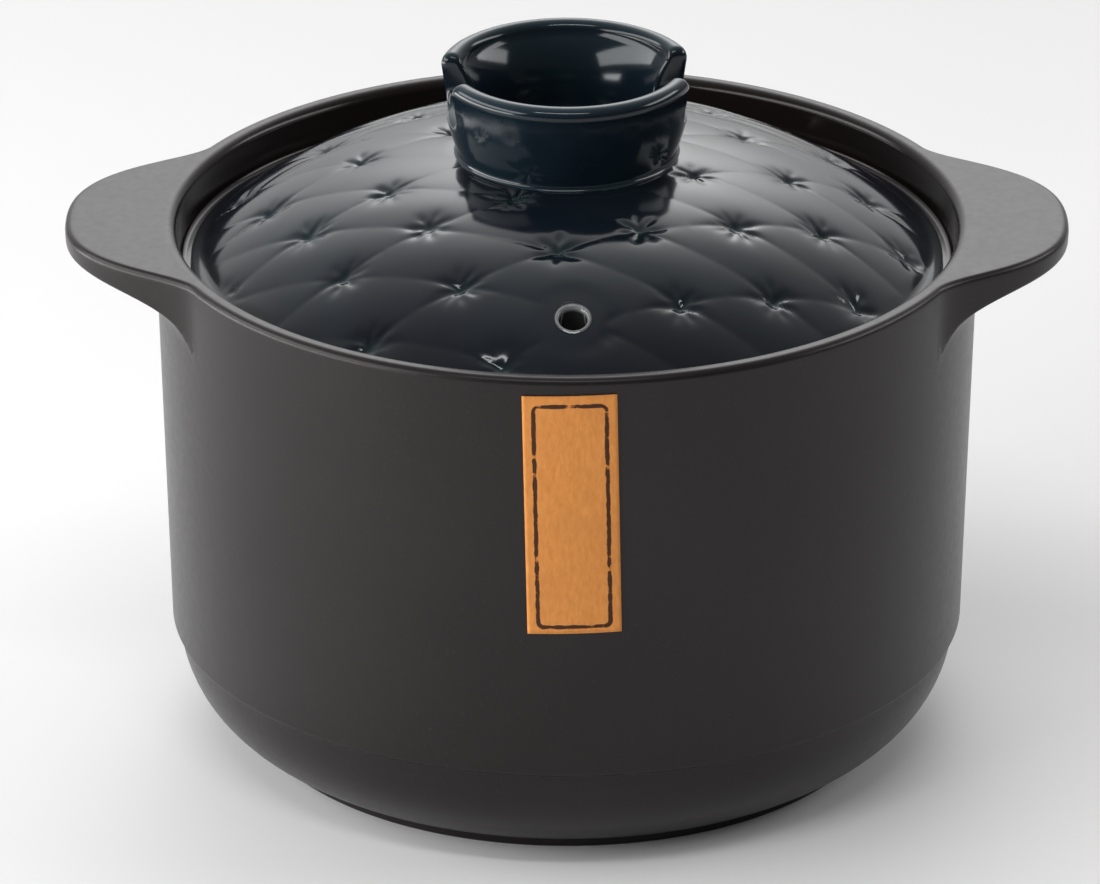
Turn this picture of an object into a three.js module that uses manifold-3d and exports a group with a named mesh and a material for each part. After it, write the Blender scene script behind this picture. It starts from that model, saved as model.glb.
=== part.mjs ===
// Ceramic cooking pot: a straight-walled vessel with two lug handles, a tufted domed lid with a ring
// knob, and a paper label on the wall. Millimetres, +Z up, origin at the middle of the foot, label
// facing -Y, handles along X.
import * as THREE from 'three';
import { mergeVertices } from 'three/addons/utils/BufferGeometryUtils.js';
import Module from 'manifold-3d';

const wasm = await Module();
wasm.setup();

// Driving dimensions of the vessel
const footRadius = 84.9;
const footWidth = 8;
const footHeight = 4;
const footSetback = 3.3;
const bowlBulge = 4.2;
const shoulderHeight = 31.5;
const shoulderDrop = 1.2;
const shoulderStep = 1.6;
const shoulderRadius = 106.1;
const wallTopRadius = 108.6;
const potHeight = 143.5;
const rimOuterRound = 3;
const rimInnerRound = 2.6;
const rimThickness = 5.7;
const galleryDepth = 11.2;
const galleryWidth = 6.6;
const galleryFlare = 1;
const galleryThickness = 8;
const wallThickness = 9;
const floorThickness = 9;
const insideCornerRound = 30;

// Driving dimensions of the handles
const handleReach = 23.7;
const handleHalfAngle = THREE.MathUtils.degToRad(27.5);
const handleFullness = 1.45;
const handleThickness = 8.5;
const handleEdgeRound = 3;
const handleRootDrop = 20;
const handleRootLean = 3.4;
const handleEndReach = 1.4;

// Driving dimensions of the lid
const lidClearance = 2.6;
const lidEdgeRound = 3.3;
const lidEdgeHeight = 2.4;
const lidEdgeDrop = 1;
const lidThickness = 7;
const lidRise = 28.4;
const lidFullness = 2.7;
const steamHoleDiameter = 7.2;
const steamHoleInset = 18;
const steamHoleAzimuth = THREE.MathUtils.degToRad(-88.8);

// Driving dimensions of the tufted relief on the lid
const tuftPitch = 25;
const tuftTurn = THREE.MathUtils.degToRad(22);
const tuftStartX = -35.7;
const tuftStartY = -42.1;
const tuftDepth = 2;
const tuftSpread = 4.6;
const tuftFade = 5;
const tuftMargin = 1;

// Driving dimensions of the knob
const knobBaseRadius = 28.6;
const knobBellyRadius = 31.8;
const knobBellyHeight = 8;
const knobLipRadius = 32.8;
const knobHeight = 24.9;
const knobWall = 6;
const knobLipRound = 2.7;
const knobTurn = THREE.MathUtils.degToRad(6);
const notchWidth = 16;
const notchDepth = 13;
const notchCornerRound = 4;

// Driving dimensions of the label
const labelWidth = 24;
const labelLength = 66.6;
const labelThickness = 0.4;
const labelTopDrop = 4.3;
const labelOffset = 1.4;
const labelTilt = THREE.MathUtils.degToRad(1.2);

// Clearance between touching pieces
const seatGap = 0.3;

// Facet counts, and the distances within which points count as one and as on the dome
const potSegments = 64;
const bowlSteps = 6;
const lidSegments = 80;
const lidInsideSteps = 4;
const domeRings = 18;
const steamHoleSegments = 20;
const knobSegments = 56;
const knobSideSteps = 5;
const roundSteps = 4;
const handleSections = 18;
const handleUndersideSteps = 6;
const labelColumns = 8;
const labelRows = 4;
const weldDistance = 1e-4;
const domeTolerance = 0.01;

// Sizes that follow from the driving dimensions
const bowlFootRadius = footRadius + footSetback;
const bowlTopRadius = shoulderRadius - shoulderStep;
const galleryHeight = potHeight - galleryDepth;
const galleryRadius = wallTopRadius - rimThickness - galleryFlare;
const mouthRadius = galleryRadius - galleryWidth;
const floorHeight = footHeight + floorThickness;
const lidRadius = galleryRadius - lidClearance;
const lidDomeEdgeRadius = lidRadius - lidEdgeRound;
const lidBase = galleryHeight + seatGap;
const domeEdgeHeight = lidBase + lidEdgeHeight;
const steamHoleDistance = lidDomeEdgeRadius - steamHoleInset;
const labelMiddle = potHeight - labelTopDrop - labelLength / 2;

// Height of the lid's top surface, without its relief, at a distance from the axis
function domeHeight(radius) {
  return domeEdgeHeight + lidRise * (1 - (radius / lidDomeEdgeRadius) ** lidFullness);
}

// Outer radius of the straight wall at a height
function wallRadius(z) {
  const share = (z - shoulderHeight) / (potHeight - shoulderHeight);
  return shoulderRadius + (wallTopRadius - shoulderRadius) * share;
}

// A point of a profile, by its distance from the axis and its height
function profilePoint(radius, z) {
  return new THREE.Vector2(radius, z);
}

// Points of a circular arc in a profile, from one angle to another, both ends included
function arcPoints(centreR, centreZ, radius, from, to, steps) {
  const points = [];
  for (let i = 0; i <= steps; i += 1) {
    const angle = from + ((to - from) * i) / steps;
    points.push(profilePoint(centreR + radius * Math.cos(angle), centreZ + radius * Math.sin(angle)));
  }
  return points;
}

// Points of a quadratic curve in a profile, both ends included
function curvePoints(start, control, end, steps) {
  return new THREE.QuadraticBezierCurve(start, control, end).getPoints(steps);
}

// Control point that lifts a straight stretch by `bulge` at its middle, to the outer side
function bulgeControl(start, end, bulge) {
  const middle = start.clone().add(end).multiplyScalar(0.5);
  const along = end.clone().sub(start).normalize();
  return middle.add(new THREE.Vector2(along.y, -along.x).multiplyScalar(2 * bulge));
}

// A solid of revolution about Z from a closed profile of (radius, z) points, counter-clockwise
function turned(profile, segments) {
  const closed = [...profile];
  const first = closed[0];
  const last = closed[closed.length - 1];
  if (first.x > 0 || last.x > 0) {
    closed.push(first.clone());
  }
  const geometry = new THREE.LatheGeometry(closed, segments);
  geometry.rotateX(Math.PI / 2);
  return weld(geometry);
}

// Keeps positions only, merges the vertices that coincide and drops the triangles that collapse
function weld(geometry) {
  geometry.deleteAttribute('normal');
  geometry.deleteAttribute('uv');
  const welded = mergeVertices(geometry, weldDistance);
  const { index } = welded;
  const kept = [];
  for (let i = 0; i < index.count; i += 3) {
    const corner = [index.getX(i), index.getX(i + 1), index.getX(i + 2)];
    if (new Set(corner).size === 3) {
      kept.push(...corner);
    }
  }
  welded.setIndex(kept);
  return welded;
}

// A closed solid through sections of equal point count. Both ends are capped, and endShape is the flat
// outline of each end.
function lofted(sections, endShape) {
  const count = sections[0].length;
  const positions = sections.flat().flatMap((point) => [point.x, point.y, point.z]);
  const triangles = [];
  for (let s = 0; s + 1 < sections.length; s += 1) {
    for (let i = 0; i < count; i += 1) {
      const a = s * count + i;
      const b = s * count + ((i + 1) % count);
      triangles.push(a, b + count, b, a, a + count, b + count);
    }
  }
  const lastStart = (sections.length - 1) * count;
  THREE.ShapeUtils.triangulateShape(endShape, []).forEach(([a, b, c]) => {
    triangles.push(a, b, c);
    triangles.push(lastStart + a, lastStart + c, lastStart + b);
  });
  const geometry = new THREE.BufferGeometry();
  geometry.setAttribute('position', new THREE.Float32BufferAttribute(positions, 3));
  geometry.setIndex(triangles);
  return geometry;
}

function solidOf(geometry) {
  return new wasm.Manifold(
    new wasm.Mesh({
      numProp: 3,
      vertProperties: new Float32Array(geometry.getAttribute('position').array),
      triVerts: new Uint32Array(geometry.getIndex().array),
    }),
  );
}

function geometryOf(solid) {
  const mesh = solid.getMesh();
  const geometry = new THREE.BufferGeometry();
  geometry.setAttribute('position', new THREE.BufferAttribute(new Float32Array(mesh.vertProperties), 3));
  geometry.setIndex(new THREE.BufferAttribute(new Uint32Array(mesh.triVerts), 1));
  return geometry;
}

// Vessel outline from the foot ring up the outside, over the rim and down the inside to the floor
function vesselProfile() {
  const bowlFoot = profilePoint(bowlFootRadius, footHeight);
  const bowlTop = profilePoint(bowlTopRadius, shoulderHeight - shoulderDrop);
  const rimInnerRadius = wallTopRadius - rimThickness;
  const underGallery = galleryHeight - galleryThickness;
  const insideRadius = (z) => wallRadius(z) - wallThickness;
  const cornerTop = floorHeight + insideCornerRound;
  return [
    profilePoint(0, footHeight),
    profilePoint(footRadius - footWidth, footHeight),
    profilePoint(footRadius - footWidth, 0),
    profilePoint(footRadius, 0),
    profilePoint(footRadius, footHeight),
    ...curvePoints(bowlFoot, bulgeControl(bowlFoot, bowlTop, bowlBulge), bowlTop, bowlSteps),
    profilePoint(shoulderRadius, shoulderHeight),
    ...arcPoints(
      wallTopRadius - rimOuterRound,
      potHeight - rimOuterRound,
      rimOuterRound,
      0,
      Math.PI / 2,
      roundSteps,
    ),
    ...arcPoints(
      rimInnerRadius + rimInnerRound,
      potHeight - rimInnerRound,
      rimInnerRound,
      Math.PI / 2,
      Math.PI,
      roundSteps,
    ),
    profilePoint(galleryRadius, galleryHeight),
    profilePoint(mouthRadius, galleryHeight),
    profilePoint(mouthRadius, underGallery),
    profilePoint(insideRadius(underGallery - galleryThickness), underGallery - galleryThickness),
    ...arcPoints(
      insideRadius(cornerTop) - insideCornerRound,
      cornerTop,
      insideCornerRound,
      0,
      -Math.PI / 2,
      2 * roundSteps,
    ),
    profilePoint(0, floorHeight),
  ];
}

// Share of the full handle reach at an angle from the handle's middle
function handleShare(angle) {
  const spread = (Math.abs(angle) / handleHalfAngle) ** handleFullness;
  return Math.cos((Math.PI / 2) * Math.min(spread, 1)) ** 2;
}

// Angle at which the handle still stands out from the wall by its end reach
function handleEndAngle() {
  const spread = (2 / Math.PI) * Math.acos(Math.sqrt(handleEndReach / handleReach));
  return handleHalfAngle * spread ** (1 / handleFullness);
}

// Handle section at an angle: underside from its root on the wall, rounded edge, flat top and the seat
// round the rim
function handleProfile(angle) {
  const share = handleShare(angle);
  const reach = handleReach * share;
  const edge = Math.min(handleEdgeRound, reach / 2);
  const underTip = potHeight - handleThickness;
  const rootHeight = underTip - handleRootDrop * Math.sqrt(share);
  const tipRadius = Math.max(wallTopRadius, wallRadius(rootHeight)) + reach;
  const seatRadius = (z) => wallRadius(z) + seatGap;
  const root = profilePoint(seatRadius(rootHeight), rootHeight);
  const underEdge = profilePoint(tipRadius - edge, underTip);
  const lean = handleRootLean * share;
  const control = profilePoint(seatRadius(underTip) + lean, underTip - lean);
  const roundCentre = potHeight - rimOuterRound;
  const seatRound = rimOuterRound + seatGap;
  const seatTop = Math.asin(rimOuterRound / seatRound);
  return [
    ...curvePoints(root, control, underEdge, handleUndersideSteps),
    ...arcPoints(tipRadius - edge, underTip + edge, edge, -Math.PI / 2, 0, roundSteps).slice(1),
    ...arcPoints(tipRadius - edge, potHeight - edge, edge, 0, Math.PI / 2, roundSteps),
    ...arcPoints(wallTopRadius - rimOuterRound, roundCentre, seatRound, seatTop, 0, roundSteps),
  ];
}

function makeHandle(middleAngle) {
  const end = handleEndAngle();
  const sections = [];
  for (let i = 0; i <= handleSections; i += 1) {
    const angle = end * ((2 * i) / handleSections - 1);
    const cosine = Math.cos(middleAngle + angle);
    const sine = Math.sin(middleAngle + angle);
    sections.push(
      handleProfile(angle).map((point) => new THREE.Vector3(point.x * cosine, point.x * sine, point.y)),
    );
  }
  return lofted(sections, handleProfile(end));
}

// Depth of the tufted relief at a place on the lid: a dimple at each point of a square lattice, fading
// out at the knob and at the lid's edge
function reliefDepth(x, y) {
  const radius = Math.hypot(x, y);
  const start = knobBaseRadius + tuftMargin;
  const end = lidDomeEdgeRadius;
  const fadeIn = THREE.MathUtils.smoothstep(radius, start, start + tuftFade);
  const fadeOut = 1 - THREE.MathUtils.smoothstep(radius, end - tuftFade, end);
  const dx = x - tuftStartX;
  const dy = y - tuftStartY;
  const along = (dx * Math.cos(tuftTurn) + dy * Math.sin(tuftTurn)) / tuftPitch;
  const across = (dy * Math.cos(tuftTurn) - dx * Math.sin(tuftTurn)) / tuftPitch;
  const toTuft = tuftPitch * Math.hypot(along - Math.round(along), across - Math.round(across));
  return tuftDepth * Math.exp(-((toTuft / tuftSpread) ** 2)) * fadeIn * fadeOut;
}

// Lid outline from the underside, round the edge and over the dome
function lidProfile() {
  const innerRise = 1 - (lidBase + lidThickness - domeEdgeHeight) / lidRise;
  const innerEdge = lidDomeEdgeRadius * innerRise ** (1 / lidFullness);
  const inner = [];
  for (let i = 0; i <= lidInsideSteps; i += 1) {
    const radius = (innerEdge * i) / lidInsideSteps;
    inner.push(profilePoint(radius, domeHeight(radius) - lidThickness));
  }
  const edge = curvePoints(
    profilePoint(lidRadius, lidBase),
    profilePoint(lidRadius, domeEdgeHeight - lidEdgeDrop),
    profilePoint(lidDomeEdgeRadius, domeEdgeHeight),
    roundSteps,
  );
  const outer = [];
  for (let i = 1; i <= domeRings; i += 1) {
    const radius = lidDomeEdgeRadius * (1 - i / domeRings);
    outer.push(profilePoint(radius, domeHeight(radius)));
  }
  return [...inner, ...edge, ...outer];
}

function makeLidShell() {
  const geometry = turned(lidProfile(), lidSegments);
  const position = geometry.getAttribute('position');
  for (let i = 0; i < position.count; i += 1) {
    const x = position.getX(i);
    const y = position.getY(i);
    const z = position.getZ(i);
    const onDome = Math.abs(z - domeHeight(Math.hypot(x, y))) < domeTolerance;
    if (onDome) {
      position.setZ(i, z - reliefDepth(x, y));
    }
  }
  const holeRadius = steamHoleDiameter / 2;
  const holeLength = 2 * (lidRise + lidThickness);
  const steamHole = new THREE.CylinderGeometry(holeRadius, holeRadius, holeLength, steamHoleSegments);
  steamHole.rotateX(Math.PI / 2);
  steamHole.translate(
    steamHoleDistance * Math.cos(steamHoleAzimuth),
    steamHoleDistance * Math.sin(steamHoleAzimuth),
    domeEdgeHeight,
  );
  return geometryOf(solidOf(geometry).subtract(solidOf(weld(steamHole))));
}

// Knob outline: seat on the dome, flared outside, rounded lip and inside wall
function knobProfile() {
  const seat = (radius) => domeHeight(radius) + seatGap;
  const lipTop = seat(knobBaseRadius) + knobHeight;
  const lipCentre = knobLipRadius - knobLipRound;
  const insideBase = knobBaseRadius - knobWall;
  const outsideBase = profilePoint(knobBaseRadius, seat(knobBaseRadius));
  const lipSide = profilePoint(knobLipRadius, lipTop - knobLipRound);
  const belly = profilePoint(knobBellyRadius, outsideBase.y + knobBellyHeight);
  const lip = arcPoints(lipCentre, lipTop - knobLipRound, knobLipRound, 0, Math.PI, 2 * roundSteps);
  return [
    profilePoint(insideBase, seat(insideBase)),
    ...curvePoints(outsideBase, belly, lipSide, knobSideSteps),
    ...lip.slice(1),
  ];
}

// A bar along X with rounded lower corners that cuts both notches in the knob's lip: it is longer than
// the knob is wide, and stands as far above the lip as it cuts into it
function notchCutter() {
  const top = domeHeight(knobBaseRadius) + seatGap + knobHeight;
  const half = notchWidth / 2;
  const round = notchCornerRound;
  const down = 1.5 * Math.PI;
  const shape = new THREE.Shape();
  shape.moveTo(-half, 2 * notchDepth);
  shape.lineTo(-half, round);
  shape.absarc(-half + round, round, round, Math.PI, down, false);
  shape.lineTo(half - round, 0);
  shape.absarc(half - round, round, round, down, 2 * Math.PI, false);
  shape.lineTo(half, 2 * notchDepth);
  const length = 3 * knobLipRadius;
  const bar = new THREE.ExtrudeGeometry(shape, {
    depth: length,
    bevelEnabled: false,
    curveSegments: roundSteps,
  });
  bar.rotateX(Math.PI / 2);
  bar.rotateZ(Math.PI / 2);
  bar.translate(-length / 2, 0, top - notchDepth);
  bar.rotateZ(knobTurn);
  return weld(bar);
}

function makeLidKnob() {
  const ring = solidOf(turned(knobProfile(), knobSegments));
  return geometryOf(ring.subtract(solidOf(notchCutter())));
}

// A thin flat card, tilted and then wrapped on the wall with its seat gap
function makeLabel() {
  const card = new THREE.BoxGeometry(
    labelWidth,
    labelThickness,
    labelLength,
    labelColumns,
    1,
    labelRows,
  );
  card.rotateY(-labelTilt);
  const wrapped = weld(card);
  const position = wrapped.getAttribute('position');
  for (let i = 0; i < position.count; i += 1) {
    const z = labelMiddle + position.getZ(i);
    const standOff = seatGap + labelThickness / 2 - position.getY(i);
    const radius = wallRadius(z);
    const angle = (labelOffset + position.getX(i)) / radius - Math.PI / 2;
    position.setXYZ(i, (radius + standOff) * Math.cos(angle), (radius + standOff) * Math.sin(angle), z);
  }
  return wrapped;
}

function part(name, geometry, material) {
  geometry.computeVertexNormals();
  const mesh = new THREE.Mesh(geometry, material);
  mesh.name = name;
  return mesh;
}

const bodyGlaze = new THREE.MeshStandardMaterial({ color: 0x3a3536, roughness: 0.5, metalness: 0 });
const handleGlaze = new THREE.MeshStandardMaterial({ color: 0x403b3b, roughness: 0.5, metalness: 0 });
const lidGlaze = new THREE.MeshStandardMaterial({ color: 0x1d222b, roughness: 0.12, metalness: 0 });
const knobGlaze = new THREE.MeshStandardMaterial({ color: 0x10171c, roughness: 0.1, metalness: 0 });
const kraftPaper = new THREE.MeshStandardMaterial({ color: 0xb97b45, roughness: 0.85, metalness: 0 });

const pot = new THREE.Group();
pot.add(part('pot_body', turned(vesselProfile(), potSegments), bodyGlaze));
pot.add(part('handle_left', makeHandle(Math.PI), handleGlaze));
pot.add(part('handle_right', makeHandle(0), handleGlaze));
pot.add(part('label', makeLabel(), kraftPaper));

const lid = new THREE.Group();
lid.add(part('lid_shell', makeLidShell(), lidGlaze));
lid.add(part('lid_knob', makeLidKnob(), knobGlaze));

const cookingPot = new THREE.Group();
cookingPot.add(pot, lid);

export default cookingPot;
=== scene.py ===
import math

import bpy
import numpy as np
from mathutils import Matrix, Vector


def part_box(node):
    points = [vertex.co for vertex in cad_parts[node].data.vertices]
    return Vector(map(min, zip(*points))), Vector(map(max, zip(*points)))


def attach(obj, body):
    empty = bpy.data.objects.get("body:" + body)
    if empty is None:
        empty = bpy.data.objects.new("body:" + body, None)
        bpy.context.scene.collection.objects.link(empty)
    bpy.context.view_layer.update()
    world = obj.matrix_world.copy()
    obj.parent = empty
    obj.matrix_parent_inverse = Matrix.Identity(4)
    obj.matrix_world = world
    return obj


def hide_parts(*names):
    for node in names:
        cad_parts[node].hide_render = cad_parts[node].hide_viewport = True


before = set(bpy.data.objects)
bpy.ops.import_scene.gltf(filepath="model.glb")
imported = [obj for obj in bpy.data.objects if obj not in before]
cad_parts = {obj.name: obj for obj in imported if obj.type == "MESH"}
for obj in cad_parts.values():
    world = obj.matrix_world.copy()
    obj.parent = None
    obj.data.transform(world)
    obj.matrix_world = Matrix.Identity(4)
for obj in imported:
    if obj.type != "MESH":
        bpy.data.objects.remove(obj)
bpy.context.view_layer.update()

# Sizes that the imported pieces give, in metres
body_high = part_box("pot_body")[1]
lid_low, lid_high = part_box("lid_shell")
knob_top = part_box("lid_knob")[1].z

# Vessel sizes, in metres
POT_HEIGHT = body_high.z
WALL_TOP_RADIUS = body_high.x
FOOT_RADIUS = 0.0849
FOOT_WIDTH = 0.008
FOOT_HEIGHT = 0.004
FOOT_SETBACK = 0.0033
FOOT_ROUND = 0.0008
BOWL_BULGE = 0.0042
SHOULDER_HEIGHT = 0.0315
SHOULDER_DROP = 0.0012
SHOULDER_STEP = 0.0016
SHOULDER_RADIUS = 0.1061
SHOULDER_ROUND = 0.0006
RIM_ROUND = 0.0019
RIM_INNER_ROUND = 0.0028
RIM_THICKNESS = 0.0057
GALLERY_DEPTH = 0.0112
GALLERY_FLARE = 0.001
GALLERY_WIDTH = 0.0066
GALLERY_ROUND = 0.0015
GALLERY_THICKNESS = 0.008
GALLERY_HEIGHT = POT_HEIGHT - GALLERY_DEPTH
GALLERY_RADIUS = WALL_TOP_RADIUS - RIM_THICKNESS - GALLERY_FLARE
MOUTH_RADIUS = GALLERY_RADIUS - GALLERY_WIDTH
WALL_THICKNESS = 0.009
FLOOR_THICKNESS = 0.009
FLOOR_HEIGHT = FOOT_HEIGHT + FLOOR_THICKNESS
INSIDE_CORNER_ROUND = 0.030
VESSEL_SIDES = 384
BOWL_STEPS = 14

# Handle sizes, in metres and radians
HANDLE_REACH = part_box("handle_right")[1].x - WALL_TOP_RADIUS
HANDLE_HALF_ANGLE = math.radians(27.5)
HANDLE_FULLNESS = 1.45
HANDLE_TIP_THICKNESS = 0.0055
HANDLE_SWEEP = 0.0039
HANDLE_SWEEP_END = 0.02
HANDLE_EDGE_ROUND = 0.0012
HANDLE_ROOT_DROP = 0.014
HANDLE_ROOT_LEAN = 0.0034
HANDLE_START = 0.108
HANDLE_UNDER_STEPS = 40
HANDLE_ROUND_STEPS = 20
HANDLE_SIDE_RINGS = 46
HANDLE_TOP_RINGS = 36

# Lid sizes, in metres
LID_BASE = lid_low.z
LID_RADIUS = lid_high.x
LID_EDGE_HEIGHT = 0.0024
LID_EDGE_DROP = 0.001
LID_EDGE_ROUND = 0.0008
LID_EDGE_WIDTH = 0.0033
LID_THICKNESS = 0.007
LID_FULLNESS = 2.7
DOME_EDGE_RADIUS = LID_RADIUS - LID_EDGE_WIDTH
DOME_EDGE_HEIGHT = LID_BASE + LID_EDGE_HEIGHT
LID_RISE = lid_high.z - DOME_EDGE_HEIGHT
LID_SIDES = 680
DOME_RINGS = 112
DOME_MIDDLE_RINGS = 4
LID_INSIDE_RINGS = 9

# Steam hole, in metres
HOLE_RADIUS = 0.0037
HOLE_INSET = 0.018
HOLE_DISTANCE = DOME_EDGE_RADIUS - HOLE_INSET
HOLE_ANGLE = math.radians(-88.8)
HOLE_X = HOLE_DISTANCE * math.cos(HOLE_ANGLE)
HOLE_Y = HOLE_DISTANCE * math.sin(HOLE_ANGLE)
HOLE_SQUASH = 0.875
HOLE_PATCH = 0.0066
HOLE_CALM = 0.012
HOLE_BARE_DEPTH = 0.0005
HOLE_BARE_REACH = 1.02 * HOLE_RADIUS
# How far from the hole's middle the painted highlight on its lip reaches
HOLE_HIGHLIGHT_REACH = 1.25 * HOLE_RADIUS
HOLE_FOOT = 0.0008
# Rings of the hole's rolled lip: distance from its middle, height above the dome and evenness round it
HOLE_LIP = (
    (0.0059, 0.0, 0.0),
    (0.0055, 0.0, 0.4),
    (0.0051, 0.0, 0.8),
    (0.0048, 0.0, 1.0),
    (0.0045, 0.00022, 1.0),
    (0.0042, 0.00030, 1.0),
    (0.0039, 0.00016, 1.0),
    (HOLE_RADIUS, -0.00025, 1.0),
    (HOLE_RADIUS, -0.0012, 1.0),
    (HOLE_RADIUS, HOLE_FOOT - LID_THICKNESS, 1.0),
)

# Tufted relief of the lid, in metres, with the share by which its tufts vary
TUFT_PITCH = 0.025
TUFT_TURN = math.radians(22)
TUFT_START = (-0.0357, -0.0421)
TUFT_SHIFT = 0.0015
PIT_DEPTH = 0.0008
PIT_WIDTH = 0.0015
DISH_DEPTH = 0.00050
DISH_WIDTH = 0.0046
CREASE_DEPTH = 0.00066
CREASE_WIDTH = 0.0010
CREASE_REACH = 0.0075
CREASE_MIDDLE = 0.08
RAY_COUNT = 7
RAY_DEPTH = 0.00055
RAY_RADIUS = 0.0034
RAY_SPREAD = 0.0024
PILLOW_HEIGHT = 0.00020
PILLOW_SOFT = 0.12
TUFT_VARIETY = 0.3
CREASE_NEARNESS = 0.4
TUFT_KNOB_FADE = 0.004
TUFT_EDGE_FADE = 0.003
TUFT_MIDDLE_STRENGTH = 0.85
TUFT_EDGE_STRENGTH = 1.6

# Knob sizes, in metres and radians
KNOB_BASE_RADIUS = 0.0286
KNOB_BELLY_RADIUS = 0.0318
KNOB_BELLY_HEIGHT = 0.008
KNOB_LIP_RADIUS = 0.0337
KNOB_WALL = 0.006
KNOB_LIP_ROUND = 0.0027
NOTCH_SIDE_ROUND = 0.0014
KNOB_LIP_HEIGHT = knob_top - KNOB_LIP_ROUND
KNOB_TURN = math.radians(4.5)
KNOB_FRONT_DROP = 0.0013
KNOB_BACK_DROP = 0.0003
KNOB_FILLET = 0.0017
KNOB_FILLET_HEIGHT = 0.002
KNOB_INNER_FILLET = 0.0028
KNOB_INNER_FILLET_HEIGHT = 0.004
KNOB_SINK = 0.0003
KNOB_INNER_FLARE = 3.0
NOTCH_WIDTH = 0.019
NOTCH_FORWARD = math.radians(4)
NOTCH_DEPTH = 0.013
NOTCH_FLOOR = knob_top - NOTCH_DEPTH
NOTCH_CORNER = 0.004
NOTCH_SHOULDER = 0.0009
NOTCH_SQUARENESS = 0.6
NOTCH_FLOOR_STEPS = 4
NOTCH_CORNER_STEPS = 14
NOTCH_SIDE_STEPS = 7
NOTCH_SHOULDER_STEPS = 8
KNOB_ROUND_STEPS = 31
KNOB_PROFILE_STEPS = 60
KNOB_WALL_ROWS = 26
KNOB_WALL_CROWDING = 1.6
KNOB_LIP_ROWS = 14

# Label sizes, in metres and radians
LABEL_WIDTH = 0.024
LABEL_LENGTH = 0.0666
LABEL_DROP = 0.0043
LABEL_MIDDLE = POT_HEIGHT - LABEL_DROP - LABEL_LENGTH / 2
LABEL_OFFSET = 0.0014
LABEL_TILT = math.radians(1.2)
LABEL_LIFT = 0.0001
LABEL_THICKNESS = 0.0004
LABEL_COLUMNS = 28
LABEL_ROWS = 56
BORDER_INSET = 0.0028
BORDER_BOTTOM_INSET = 0.0019
BORDER_WIDTH = 0.00085
BORDER_CORNER = 0.0015
BORDER_WEAR = (0.0002, -0.0001)
BORDER_BLUR = 0.00018

# Colours of the glazes, the clay, the paper and the floor, with a painted highlight on the steam hole's lip
# and painted sheen on the knob's top
BODY_DARK = (0.0112, 0.0093, 0.0095, 1)
BODY_LIGHT = (0.0144, 0.0122, 0.0124, 1)
BODY_SPECK = (0.032, 0.027, 0.027, 1)
BODY_INSIDE = (0.0105, 0.0070, 0.0067, 1)
BODY_SHINE = (1, 0.94, 0.95, 1)
LID_DEEP = (0.0045, 0.0062, 0.0115, 1)
LID_THIN = (0.0064, 0.0105, 0.0155, 1)
LID_TUFT = (0.012, 0.030, 0.032, 1)
LID_SHINE = (0.96, 0.985, 1, 1)
HOLE_CLAY = (0.006, 0.005, 0.005, 1)
# Pale grey painted on top of the steam hole's lip: a painted highlight standing in for the light the lip
# reflects
HOLE_LIP_PAINTED_HIGHLIGHT = (0.19, 0.195, 0.195, 1)
KNOB_DEEP = (0.0050, 0.0090, 0.0145, 1)
KNOB_THIN = (0.0066, 0.0150, 0.0210, 1)
# Paler teal for knob faces that turn upwards: partly thin glaze on the lip, partly painted sheen
KNOB_LIP_GLAZE_AND_SHEEN = (0.020, 0.036, 0.046, 1)
PAPER_DARK = (0.61, 0.228, 0.052, 1)
PAPER_LIGHT = (0.74, 0.300, 0.077, 1)
PAPER_CLOUD = (0.58, 0.225, 0.062, 1)
INK = (0.042, 0.015, 0.009, 1)
FLOOR_DARK = (0.88, 0.88, 0.88, 1)
FLOOR_LIGHT = (0.9, 0.9, 0.9, 1)

# Studio: the floor, the glow behind the pot with its rise and its turn to the right, and the camera
FLOOR_SIZE = 30
LIGHT_AIM = (0, 0, 0.1)
GLOW_RISE = math.radians(33)
GLOW_TURN = math.radians(3)
GLOW_CORE = 3.0
GLOW_CORE_NARROWNESS = 25
GLOW_LEFT = 1.75
GLOW_RIGHT = 0.86
GLOW_NARROWNESS = 3.7
AIR_LIGHT = 0.08
CAMERA_PLACE = (0, -1.8228, 0.8936)
CAMERA_AIM = (-0.00445, 0.00276, 0.0767)
CAMERA_SENSOR = 36
CAMERA_LENS = 244.4

# Drawing: steps of a rounded corner, the length that a radian of turn counts for, and a length that
# counts as none
ROUND_STEPS = 6
TURN_LENGTH = 0.004
WELD = 1e-6
WELD_REACH = 10 * WELD
START_SIZE = 0.01

# Scatter: what one step of a column, a row and a seed adds, and how far the sum is spread
SCATTER_COLUMN = 12.9898
SCATTER_ROW = 78.233
SCATTER_SEED = 37.719
SCATTER_SPREAD = 43758.5453


def arc(centre, radius, start, end, steps):
    """Points of a circular arc in an outline, both ends included."""
    angles = np.linspace(start, end, steps + 1)
    return [(centre[0] + radius * math.cos(a), centre[1] + radius * math.sin(a)) for a in angles]


def curve(start, control, end, steps):
    """Points of a curve that leaves start towards control and reaches end from there."""
    shares = np.linspace(0, 1, steps + 1)[:, None]
    first, middle, last = np.array(start), np.array(control), np.array(end)
    points = (1 - shares) ** 2 * first + 2 * shares * (1 - shares) * middle + shares**2 * last
    return [tuple(point) for point in points]


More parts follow.
